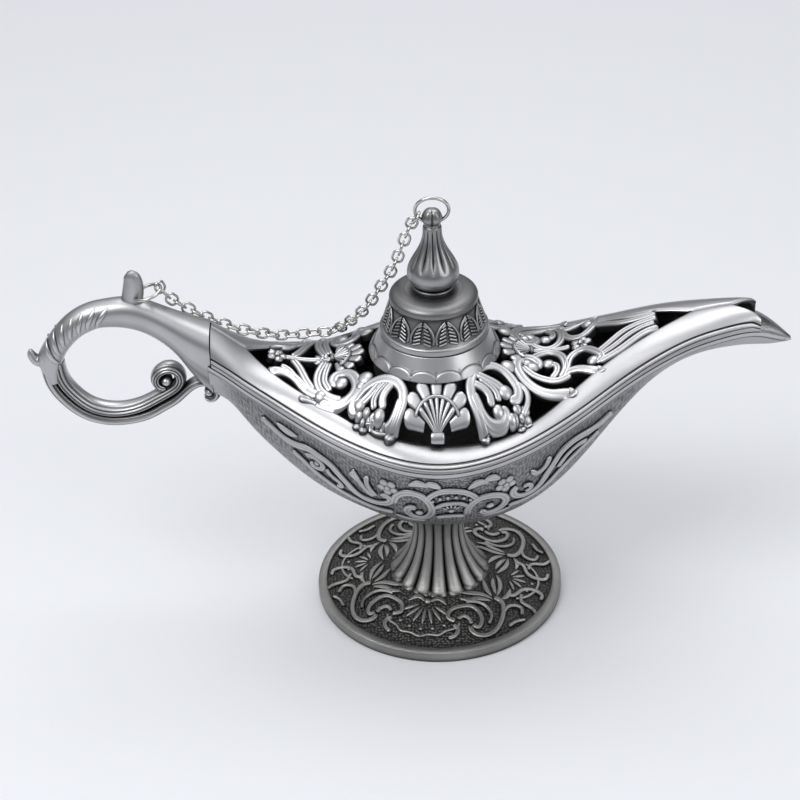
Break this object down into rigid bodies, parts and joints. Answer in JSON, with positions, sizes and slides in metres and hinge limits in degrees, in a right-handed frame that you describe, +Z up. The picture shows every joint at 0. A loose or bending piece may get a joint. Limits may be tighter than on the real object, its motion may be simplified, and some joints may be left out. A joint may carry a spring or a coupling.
{
  "type": "genie oil lamp",
  "caption": "Boat-shaped cast metal oil lamp on a fluted foot, with a pierced cover, a lift-off domed lid on a link chain, a long spout and a scrolled loop handle.",
  "frame": {"origin": "centre of the foot's underside, on the lid's axis", "axes": "+X along the spout, +Y to the far side of the pictured view, +Z up the lid's axis"},
  "size_m": [0.2105, 0.072, 0.1313],
  "materials": {
    "cast_metal": "antique pewter zinc alloy, satin with dark patina in the hollows",
    "chain_steel": "bright polished steel wire",
    "steel": "zinc plated",
    "pad": "black felt"
  },
  "bodies": {
    "lamp": {"foot": "cast_metal", "foot_pad": "pad", "foot_washer": "steel", "foot_screw": "steel", "bowl": "cast_metal", "handle": "cast_metal", "cover_rim": "cast_metal", "cover_collar": "cast_metal", "cover_filigree": "cast_metal", "horn_ring": "chain_steel"},
    "lid": {"lid": "cast_metal", "finial_ring": "chain_steel"},
    "chain_upper": {"chain_link_01": "chain_steel", "chain_link_02": "chain_steel", "chain_link_03": "chain_steel", "chain_link_04": "chain_steel", "chain_link_05": "chain_steel", "chain_link_06": "chain_steel", "chain_link_07": "chain_steel", "chain_link_08": "chain_steel", "chain_link_09": "chain_steel", "chain_link_10": "chain_steel", "chain_link_11": "chain_steel", "chain_link_12": "chain_steel", "chain_link_13": "chain_steel", "chain_link_14": "chain_steel", "chain_link_15": "chain_steel", "chain_link_16": "chain_steel", "chain_link_17": "chain_steel"},
    "chain_lower": {"chain_link_18": "chain_steel", "chain_link_19": "chain_steel", "chain_link_20": "chain_steel", "chain_link_21": "chain_steel", "chain_link_22": "chain_steel", "chain_link_23": "chain_steel", "chain_link_24": "chain_steel", "chain_link_25": "chain_steel", "chain_link_26": "chain_steel", "chain_link_27": "chain_steel", "chain_link_28": "chain_steel", "chain_link_29": "chain_steel", "chain_link_30": "chain_steel", "chain_link_31": "chain_steel", "chain_link_32": "chain_steel", "chain_link_33": "chain_steel", "chain_link_34": "chain_steel", "chain_link_35": "chain_steel", "chain_link_36": "chain_steel", "chain_link_37": "chain_steel", "chain_link_38": "chain_steel"}
  },
  "joints": [
    {"name": "lid_lift", "type": "slide", "parent": "lamp", "child": "lid", "axis": [0, 0, 1], "range_m": [0, 0.005]},
    {"name": "chain_upper_swing", "type": "hinge", "parent": "lid", "child": "chain_upper", "pos_m": [-0.0039, -0.00052, 0.1244], "axis": [-0.1847, -0.9471, -0.2625], "range_deg": [0, 2.21]},
    {"name": "chain_lower_swing", "type": "hinge", "parent": "lamp", "child": "chain_lower", "pos_m": [-0.07439, 0.00218, 0.10396], "axis": [0.2145, -0.9699, -0.115], "range_deg": [0, 4.63]}
  ],
  "couplings": [
    {"joint": "chain_upper_swing", "follows": "lid_lift", "rad_per_m": 7.6876},
    {"joint": "chain_lower_swing", "follows": "lid_lift", "rad_per_m": 16.144}
  ]
}
